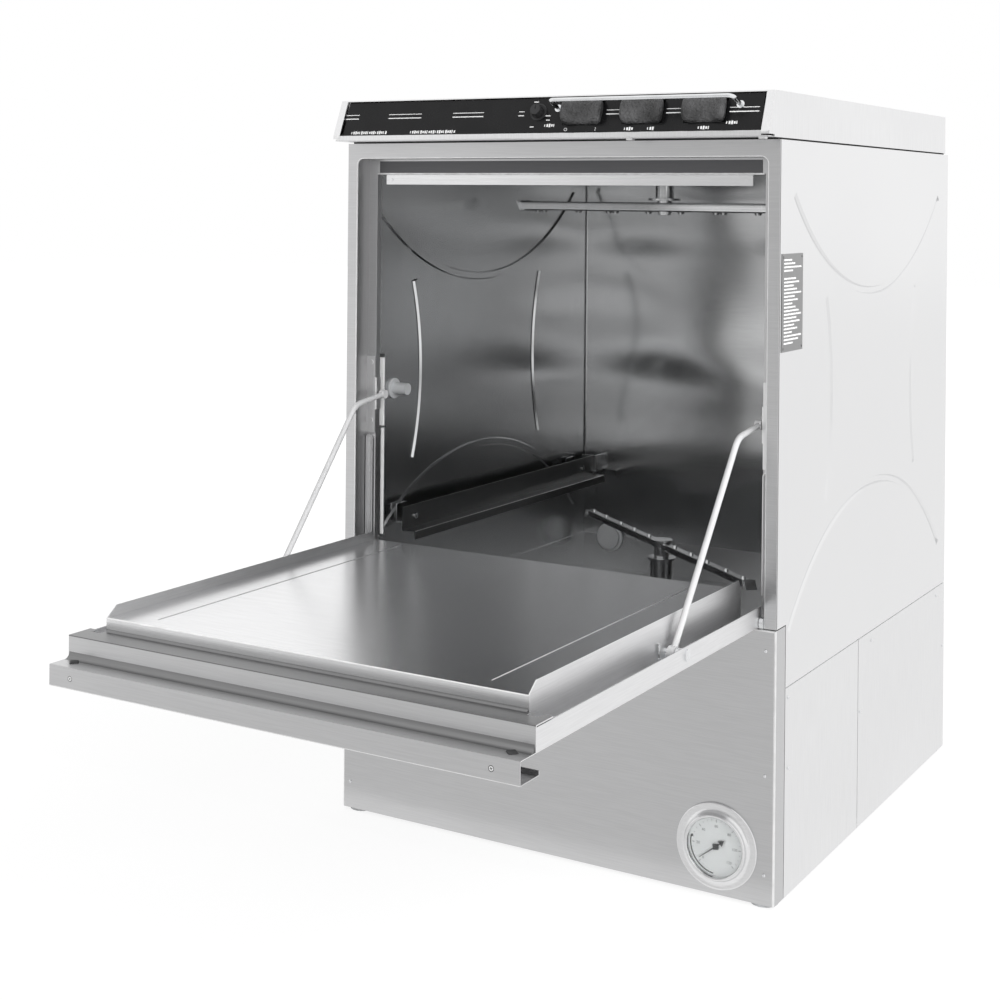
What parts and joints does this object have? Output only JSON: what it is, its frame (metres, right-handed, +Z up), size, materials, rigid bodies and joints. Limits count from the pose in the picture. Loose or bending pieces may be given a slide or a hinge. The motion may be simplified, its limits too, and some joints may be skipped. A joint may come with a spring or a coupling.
{
  "type": "glass washer machine",
  "caption": "Stainless undercounter glass washer: open drop-down door on support rods, beaded tub with rotating wash arms, sloped control console and round gauge.",
  "frame": {"origin": "on the floor at the centre of the overall box, with the door open as stored", "axes": "+X to the machine's right seen from the front, +Y from the open door to the back, +Z up"},
  "size_m": [0.604, 1.235, 0.927],
  "materials": {
    "outer_steel": "brushed stainless sheet, satin, with a faint upright grain",
    "panel_steel": "brushed stainless sheet, slightly darker than the tub walls",
    "tub_steel": "plain stainless sheet, satin, with faint water marks",
    "bright_steel": "polished stainless bar and fasteners",
    "pipe_steel": "drawn stainless tube with fine rings",
    "fascia_black": "smooth black control strip",
    "black_plastic": "fine-grained black moulding",
    "white_rod": "white coated steel bar",
    "grey_plastic": "grey moulding",
    "rubber_black": "matt black rubber",
    "dark_frame": "dark grey paint",
    "pump_grey": "grey paint on cast metal",
    "rotor_steel": "turned steel",
    "valve_blue": "blue moulded plastic",
    "valve_brass": "bare brass body",
    "heater_metal": "dull heat-stained metal sheath",
    "dial_white": "pale printed dial face",
    "lens_clear": "clear glass",
    "pointer_black": "black paint"
  },
  "bodies": {
    "cabinet": {"tub_left_wall": "outer_steel", "tub_right_wall": "outer_steel", "tub_back_wall": "outer_steel", "tub_ceiling": "tub_steel", "tub_floor": "tub_steel", "front_frame": "panel_steel", "splash_strip": "outer_steel", "base_frame": "dark_frame", "levelling_feet": "grey_plastic", "front_panel": "panel_steel", "right_front_panel": "outer_steel", "right_rear_panel": "outer_steel", "left_front_panel": "outer_steel", "left_rear_panel": "outer_steel", "back_panel": "panel_steel", "panel_screws": "bright_steel", "cover_gasket": "rubber_black", "top_cover": "outer_steel", "console_shell": "outer_steel", "control_fascia": "fascia_black", "guard_bar": "bright_steel", "switch_bodies": "black_plastic", "timer_body": "black_plastic", "data_plate": "panel_steel", "jamb_brackets": "outer_steel", "hinge_pins": "bright_steel", "rack_rails": "tub_steel", "rail_brackets": "tub_steel", "tub_fittings": "grey_plastic", "lower_manifold": "pipe_steel", "riser_pipe": "pipe_steel", "upper_manifold": "pipe_steel", "overflow_pipe": "pipe_steel", "tank_heater": "heater_metal", "pump_volute": "pump_grey", "pump_motor": "pump_grey", "drain_valve": "valve_blue", "fill_valve": "valve_brass", "dosing_pumps": "grey_plastic", "control_box": "panel_steel", "cable_gland": "black_plastic", "gauge_case": "outer_steel", "gauge_dial": "dial_white", "gauge_lens": "lens_clear"},
    "door": {"door_skin": "panel_steel", "door_handle": "panel_steel", "door_liner": "outer_steel", "door_catches": "black_plastic", "rod_pivots": "bright_steel"},
    "left_support_rod": {"left_rod": "white_rod"},
    "right_support_rod": {"right_rod": "white_rod"},
    "lower_wash_arm": {"lower_arm": "pipe_steel"},
    "upper_wash_arm": {"upper_arm": "pipe_steel"},
    "power_switch": {"power_rocker": "black_plastic"},
    "fill_switch": {"fill_rocker": "black_plastic"},
    "start_switch": {"start_rocker": "black_plastic"},
    "timer_dial": {"timer_knob": "black_plastic"},
    "thermometer_pointer": {"gauge_needle": "pointer_black"},
    "strainer_basket": {"sump_strainer": "tub_steel"},
    "pump_shaft": {"pump_rotor": "rotor_steel"}
  },
  "joints": [
    {"name": "door_hinge", "type": "hinge", "parent": "cabinet", "child": "door", "pos_m": [0, -0.0745, 0.323], "axis": [-1, 0, 0], "range_deg": [0, 90]},
    {"name": "left_rod_pivot", "type": "hinge", "parent": "door", "child": "left_support_rod", "pos_m": [-0.264, -0.2745, 0.332], "axis": [1, 0, 0], "range_deg": [0, 131.7]},
    {"name": "right_rod_pivot", "type": "hinge", "parent": "door", "child": "right_support_rod", "pos_m": [0.264, -0.2745, 0.332], "axis": [1, 0, 0], "range_deg": [0, 131.7]},
    {"name": "lower_arm_spin", "type": "hinge", "parent": "cabinet", "child": "lower_wash_arm", "pos_m": [0, 0.2575, 0.322], "axis": [0, 0, 1], "continuous": true},
    {"name": "upper_arm_spin", "type": "hinge", "parent": "cabinet", "child": "upper_wash_arm", "pos_m": [0, 0.2575, 0.792], "axis": [0, 0, 1], "continuous": true},
    {"name": "power_rocker_tilt", "type": "hinge", "parent": "cabinet", "child": "power_switch", "pos_m": [0.06, -0.09744, 0.9059], "axis": [0, 0.342, 0.9397], "range_deg": [-8, 8]},
    {"name": "fill_rocker_tilt", "type": "hinge", "parent": "cabinet", "child": "fill_switch", "pos_m": [0.139, -0.09744, 0.9059], "axis": [0, 0.342, 0.9397], "range_deg": [-8, 8]},
    {"name": "start_rocker_tilt", "type": "hinge", "parent": "cabinet", "child": "start_switch", "pos_m": [0.218, -0.09744, 0.9059], "axis": [0, 0.342, 0.9397], "range_deg": [-8, 8], "stiffness_Nm_per_rad": 0.3},
    {"name": "timer_knob_turn", "type": "hinge", "parent": "cabinet", "child": "timer_dial", "pos_m": [-0.002, -0.09709, 0.90684], "axis": [0, -0.9397, 0.342], "range_deg": [-135, 135]},
    {"name": "pointer_turn", "type": "hinge", "parent": "cabinet", "child": "thermometer_pointer", "pos_m": [0.23, -0.0765, 0.06], "axis": [0, 1, 0], "range_deg": [0, 256]},
    {"name": "strainer_lift", "type": "slide", "parent": "cabinet", "child": "strainer_basket", "axis": [0, 0, 1], "range_m": [0, 0.06]},
    {"name": "pump_shaft_spin", "type": "hinge", "parent": "cabinet", "child": "pump_shaft", "pos_m": [0.15, 0.2575, 0.1], "axis": [1, 0, 0], "continuous": true}
  ],
  "couplings": [
    {"joint": "left_rod_pivot", "follows": "door_hinge", "ratio": 1.462},
    {"joint": "right_rod_pivot", "follows": "door_hinge", "ratio": 1.462}
  ]
}
